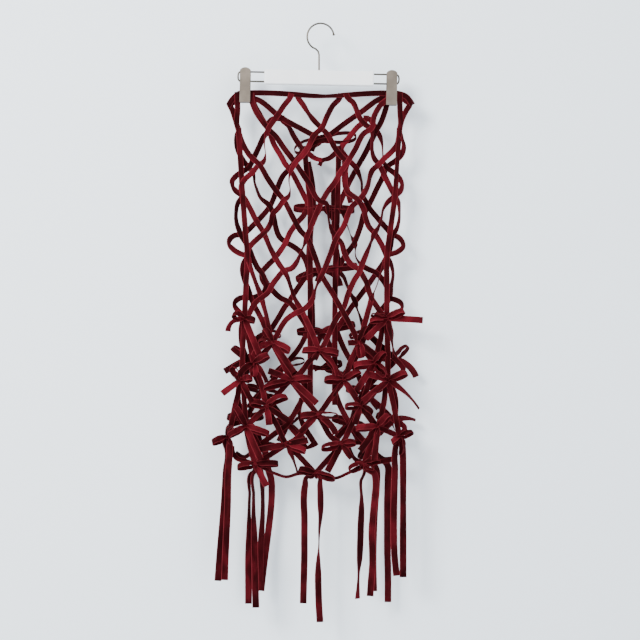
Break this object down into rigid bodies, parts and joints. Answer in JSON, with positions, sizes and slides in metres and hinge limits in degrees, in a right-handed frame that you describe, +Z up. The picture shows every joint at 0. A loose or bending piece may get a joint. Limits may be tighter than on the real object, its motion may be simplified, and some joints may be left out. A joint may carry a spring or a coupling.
{
  "type": "ribbon net skirt on a clip hanger",
  "caption": "Tube-shaped open net skirt of burgundy velvet ribbon, with bows and long ribbon ends at the hem, hung flat on a white bar hanger with two clips.",
  "frame": {"origin": "the point inside the top of the hanger's hook that rests on a rail", "axes": "+Z up; -Y towards the skirt's front; +X to the right as the front is seen"},
  "size_m": [0.3663, 0.0689, 1.0442],
  "materials": {
    "burgundy_velvet": "cut velvet pile, satin reverse",
    "white_paint": "white satin lacquer",
    "hanger_metal": "satin nickel"
  },
  "bodies": {
    "root": {"bar": "white_paint", "bow_back_10_l5": "burgundy_velvet", "bow_back_10_l7": "burgundy_velvet", "bow_back_10_r5": "burgundy_velvet", "bow_back_10_r7": "burgundy_velvet", "bow_back_11_l6": "burgundy_velvet", "bow_back_11_r6": "burgundy_velvet", "bow_back_7_l6": "burgundy_velvet", "bow_back_7_r6": "burgundy_velvet", "bow_back_8_l5": "burgundy_velvet", "bow_back_8_l7": "burgundy_velvet", "bow_back_8_r5": "burgundy_velvet", "bow_back_9_l6": "burgundy_velvet", "bow_back_9_r6": "burgundy_velvet", "bow_front_10_l1": "burgundy_velvet", "bow_front_10_l3": "burgundy_velvet", "bow_front_10_r1": "burgundy_velvet", "bow_front_10_r3": "burgundy_velvet", "bow_front_11_l2": "burgundy_velvet", "bow_front_11_l4": "burgundy_velvet", "bow_front_11_m0": "burgundy_velvet", "bow_front_11_r2": "burgundy_velvet", "bow_front_11_r4": "burgundy_velvet", "bow_front_7_l2": "burgundy_velvet", "bow_front_7_l4": "burgundy_velvet", "bow_front_7_m0": "burgundy_velvet", "bow_front_7_r2": "burgundy_velvet", "bow_front_7_r4": "burgundy_velvet", "bow_front_8_l1": "burgundy_velvet", "bow_front_8_l3": "burgundy_velvet", "bow_front_8_r1": "burgundy_velvet", "bow_front_8_r3": "burgundy_velvet", "bow_front_9_l2": "burgundy_velvet", "bow_front_9_l4": "burgundy_velvet", "bow_front_9_m0": "burgundy_velvet", "bow_front_9_r2": "burgundy_velvet", "bow_front_9_r4": "burgundy_velvet", "clip_left": "hanger_metal", "clip_right": "hanger_metal", "hem_ribbon_back": "burgundy_velvet", "hem_ribbon_front": "burgundy_velvet", "hook": "hanger_metal", "net_back_left": "burgundy_velvet", "net_back_right": "burgundy_velvet", "net_front": "burgundy_velvet", "placket_ribbon_left": "burgundy_velvet", "placket_ribbon_right": "burgundy_velvet", "rod_left": "hanger_metal", "rod_right": "hanger_metal", "side_ribbon_left": "burgundy_velvet", "side_ribbon_right": "burgundy_velvet", "tie_1": "burgundy_velvet", "tie_2": "burgundy_velvet", "tie_3": "burgundy_velvet", "tie_4": "burgundy_velvet", "tie_5": "burgundy_velvet", "tie_waist": "burgundy_velvet", "waistband_back_left": "burgundy_velvet", "waistband_back_right": "burgundy_velvet", "waistband_front": "burgundy_velvet"}
  },
  "joints": []
}
